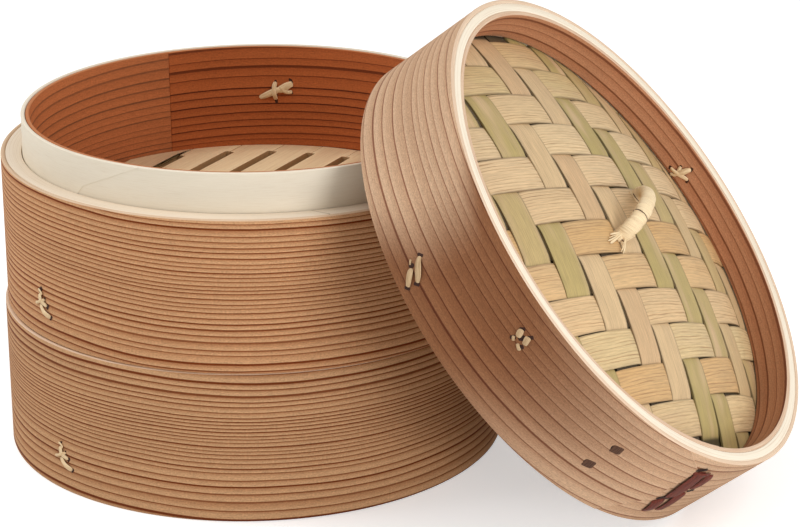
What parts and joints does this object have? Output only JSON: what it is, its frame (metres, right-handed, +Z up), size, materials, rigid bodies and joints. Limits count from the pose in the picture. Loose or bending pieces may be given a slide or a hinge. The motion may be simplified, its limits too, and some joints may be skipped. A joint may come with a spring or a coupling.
{
  "type": "bamboo steamer basket",
  "caption": "Round stacking steamer basket with nested slatted tiers and a domed woven lid leaning against them.",
  "frame": {"origin": "middle of the base of the whole set, on the surface it stands on", "axes": "+Z up, +X the way the lid leans out from the tiers"},
  "size_m": [0.34, 0.2236, 0.1947],
  "materials": {
    "cedar_wrap": "bare cedar veneer with fine dark growth lines",
    "pale_wood": "planed pale sapwood",
    "cedar_liner": "red heartwood veneer, matt",
    "bamboo_slat": "sanded bamboo",
    "bamboo_weave": "split bamboo strips, fibrous, slight sheen",
    "cane": "split rattan cane",
    "bark": "dark cherry bark"
  },
  "bodies": {
    "lower_tier": {"lower_core_hoop": "pale_wood", "lower_far_batten": "bamboo_slat", "lower_floor_ring": "pale_wood", "lower_lap_stitch": "cane", "lower_liner": "cedar_liner", "lower_lip_band": "pale_wood", "lower_near_batten": "bamboo_slat", "lower_outer_hoop": "cedar_wrap", "lower_rim_stitch": "cane", "lower_slat_01": "bamboo_slat", "lower_slat_02": "bamboo_slat", "lower_slat_03": "bamboo_slat", "lower_slat_04": "bamboo_slat", "lower_slat_05": "bamboo_slat", "lower_slat_06": "bamboo_slat", "lower_slat_07": "bamboo_slat", "lower_slat_08": "bamboo_slat", "lower_slat_09": "bamboo_slat", "lower_slat_10": "bamboo_slat", "lower_tail_stitch": "cane"},
    "upper_tier": {"upper_core_hoop": "pale_wood", "upper_far_batten": "bamboo_slat", "upper_floor_ring": "pale_wood", "upper_lap_stitch": "cane", "upper_liner": "cedar_liner", "upper_lip_band": "pale_wood", "upper_near_batten": "bamboo_slat", "upper_outer_hoop": "cedar_wrap", "upper_rim_stitch": "cane", "upper_slat_01": "bamboo_slat", "upper_slat_02": "bamboo_slat", "upper_slat_03": "bamboo_slat", "upper_slat_04": "bamboo_slat", "upper_slat_05": "bamboo_slat", "upper_slat_06": "bamboo_slat", "upper_slat_07": "bamboo_slat", "upper_slat_08": "bamboo_slat", "upper_slat_09": "bamboo_slat", "upper_slat_10": "bamboo_slat", "upper_tail_stitch": "cane"},
    "lid": {"lid_bark_lace": "bark", "lid_bark_peg_1": "bark", "lid_bark_peg_2": "bark", "lid_core_hoop": "pale_wood", "lid_handle_core": "cane", "lid_handle_wrap": "cane", "lid_lower_ring": "cedar_liner", "lid_lower_stitch": "cane", "lid_outer_hoop": "cedar_wrap", "lid_rim_stitch": "cane", "lid_top_weave": "bamboo_weave", "lid_under_weave": "bamboo_weave", "lid_upper_ring": "cedar_liner", "lid_upper_stitch": "cane"}
  },
  "joints": [
    {"name": "upper_tier_lift", "type": "slide", "parent": "lower_tier", "child": "upper_tier", "axis": [0, 0, 1], "range_m": [0, 0.12]},
    {"name": "lid_lift_off", "type": "slide", "parent": "upper_tier", "child": "lid", "axis": [0.7848, 0, 0.6198], "range_m": [0, 0.16]}
  ]
}
